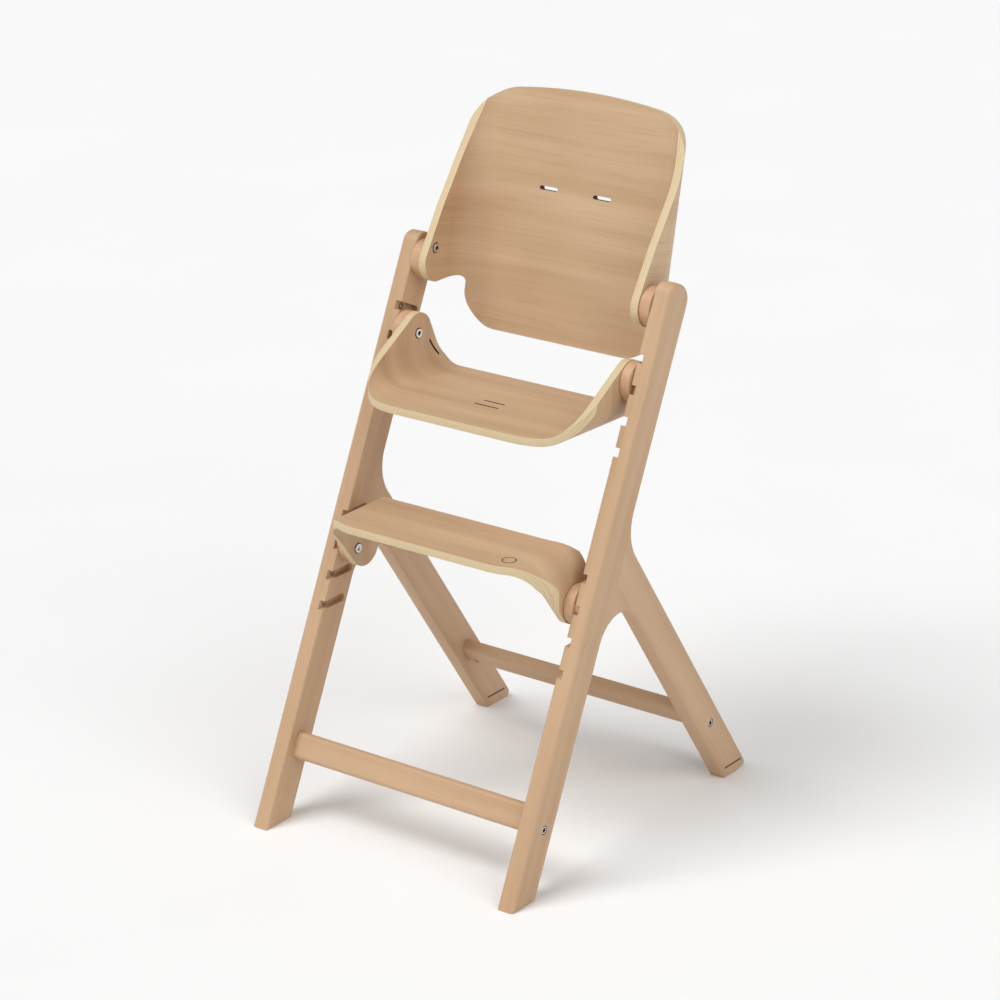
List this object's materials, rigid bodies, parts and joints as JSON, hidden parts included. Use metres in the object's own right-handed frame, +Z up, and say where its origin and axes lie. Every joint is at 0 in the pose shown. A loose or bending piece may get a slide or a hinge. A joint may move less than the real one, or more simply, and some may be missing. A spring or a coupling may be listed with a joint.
{
  "type": "baby high chair",
  "caption": "Wooden grow-along high chair: two lambda side frames with grooves carry a bent plywood backrest, seat and footrest on round spacer discs.",
  "frame": {"origin": "on the floor under the middle of the chair's bounding box", "axes": "+Z up, the seated child looks along -Y, +X across the chair to the viewer's right when facing its front"},
  "size_m": [0.416, 0.5332, 0.911],
  "materials": {
    "solid_wood": "clear satin lacquer on solid beech, grain along each leg and bar",
    "plywood": "clear satin lacquer on moulded beech plywood, pale layered edges",
    "disc_wood": "satin lacquered solid wood",
    "dowel_wood": "raw beech dowel",
    "heel_strip": "matt dark brown",
    "screw_steel": "nickel plated, bright",
    "fitting_steel": "zinc plated"
  },
  "bodies": {
    "frame": {"side_frame_left": "solid_wood", "side_frame_right": "solid_wood", "front_crossbar": "solid_wood", "rear_crossbar": "solid_wood", "back_disc_left": "disc_wood", "back_disc_right": "disc_wood", "back_screw_left": "screw_steel", "back_screw_right": "screw_steel", "front_bar_screw_left": "screw_steel", "front_bar_screw_right": "screw_steel", "rear_bar_screw_left": "screw_steel", "rear_bar_screw_right": "screw_steel", "front_barrel_nut_left": "fitting_steel", "front_barrel_nut_right": "fitting_steel", "rear_barrel_nut_left": "fitting_steel", "rear_barrel_nut_right": "fitting_steel", "front_dowel_left": "dowel_wood", "front_dowel_right": "dowel_wood", "rear_dowel_left": "dowel_wood", "rear_dowel_right": "dowel_wood", "heel_strip_left": "heel_strip", "heel_strip_right": "heel_strip", "seat_insert_1_left": "fitting_steel", "seat_insert_2_left": "fitting_steel", "seat_insert_3_left": "fitting_steel", "seat_insert_4_left": "fitting_steel", "seat_insert_1_right": "fitting_steel", "seat_insert_2_right": "fitting_steel", "seat_insert_3_right": "fitting_steel", "seat_insert_4_right": "fitting_steel", "foot_insert_1_left": "fitting_steel", "foot_insert_2_left": "fitting_steel", "foot_insert_3_left": "fitting_steel", "foot_insert_4_left": "fitting_steel", "foot_insert_1_right": "fitting_steel", "foot_insert_2_right": "fitting_steel", "foot_insert_3_right": "fitting_steel", "foot_insert_4_right": "fitting_steel"},
    "backrest": {"backrest_shell": "plywood"},
    "seat": {"seat_shell": "plywood", "seat_disc_left": "disc_wood", "seat_disc_right": "disc_wood", "seat_screw_left": "screw_steel", "seat_screw_right": "screw_steel"},
    "footrest": {"footrest_shell": "plywood", "footrest_disc_left": "disc_wood", "footrest_disc_right": "disc_wood", "footrest_screw_left": "screw_steel", "footrest_screw_right": "screw_steel"}
  },
  "joints": [
    {"name": "backrest_tilt", "type": "hinge", "parent": "frame", "child": "backrest", "pos_m": [0, 0.06911, 0.70637], "axis": [-1, 0, 0], "range_deg": [-8, 12]},
    {"name": "seat_slide", "type": "slide", "parent": "frame", "child": "seat", "axis": [0, -0.9078, 0.4194], "range_m": [0, 0.045]},
    {"name": "footrest_slide", "type": "slide", "parent": "frame", "child": "footrest", "axis": [0, -1, 0], "range_m": [0, 0.045]}
  ]
}
